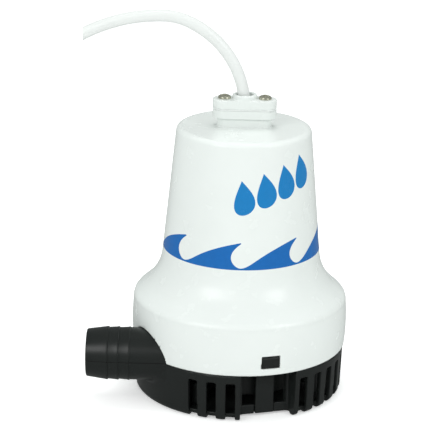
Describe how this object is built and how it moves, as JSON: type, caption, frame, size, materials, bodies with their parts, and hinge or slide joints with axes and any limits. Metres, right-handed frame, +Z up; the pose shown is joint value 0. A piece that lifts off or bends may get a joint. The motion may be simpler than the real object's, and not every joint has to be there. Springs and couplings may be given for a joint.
{
  "type": "bilge pump",
  "caption": "Submersible electric bilge pump: a motor unit in a white flared housing that snaps onto a black slotted strainer base with a sideways hose nozzle.",
  "frame": {"origin": "on the pump's axis, in the plane of the feet", "axes": "+Z up along the motor shaft; the hose nozzle points along -X, offset towards -Y"},
  "size_m": [0.1446, 0.117, 0.2087],
  "materials": {
    "black_plastic": "satin moulded",
    "white_plastic": "glossy moulded",
    "stainless": "polished",
    "black_rubber": "matt",
    "grey_rubber": "matt",
    "white_pvc": "semi-gloss",
    "brown_pvc": "semi-gloss",
    "black_pvc": "semi-gloss",
    "copper": "bright drawn copper",
    "plated_steel": "zinc plated",
    "ferrite": "sintered ferrite",
    "phenolic": "moulded phenolic",
    "carbon": "pressed carbon",
    "bronze": "sintered bronze",
    "brass": "machined",
    "core_steel": "stacked laminations",
    "enamelled_copper": "enamelled wire",
    "blue_nylon": "moulded"
  },
  "bodies": {
    "base": {"strainer_base": "black_plastic", "volute_casing": "black_plastic", "casing_screws": "stainless", "volute_gasket": "black_rubber"},
    "front_latch": {"front_latch": "black_plastic"},
    "rear_latch": {"rear_latch": "black_plastic"},
    "motor_unit": {"motor_housing": "white_plastic", "gland_gasket": "grey_rubber", "gland_cap": "white_plastic", "gland_screws": "stainless", "cable_grommet": "black_rubber", "cable_jacket": "white_pvc", "positive_lead": "brown_pvc", "negative_lead": "black_pvc", "copper_conductors": "copper", "motor_can": "plated_steel", "field_magnets": "ferrite", "brush_plate": "phenolic", "carbon_brushes": "carbon", "brush_springs": "bronze", "terminals": "brass", "upper_bearing": "bronze", "lower_bearing": "bronze", "seal_plate": "white_plastic", "seal_plate_ring": "black_rubber", "shaft_seal": "black_rubber", "seal_plate_screws": "stainless", "motor_screws": "stainless"},
    "rotor": {"motor_shaft": "stainless", "thrust_washers": "brass", "armature_core": "core_steel", "armature_windings": "enamelled_copper", "commutator": "copper", "impeller": "blue_nylon", "impeller_nut": "brass"}
  },
  "joints": [
    {"name": "motor_lift", "type": "slide", "parent": "base", "child": "motor_unit", "axis": [0, 0, 1], "range_m": [0, 0.07]},
    {"name": "rotor_spin", "type": "hinge", "parent": "motor_unit", "child": "rotor", "pos_m": [0, 0, 0.06], "axis": [0, 0, 1], "continuous": true},
    {"name": "front_latch_press", "type": "hinge", "parent": "base", "child": "front_latch", "pos_m": [0.01392, -0.04468, 0.0042], "axis": [-0.9548, -0.2974, 0], "range_deg": [0, 6.5]},
    {"name": "rear_latch_press", "type": "hinge", "parent": "base", "child": "rear_latch", "pos_m": [-0.01392, 0.04468, 0.0042], "axis": [0.9548, 0.2974, 0], "range_deg": [0, 6.5]}
  ]
}
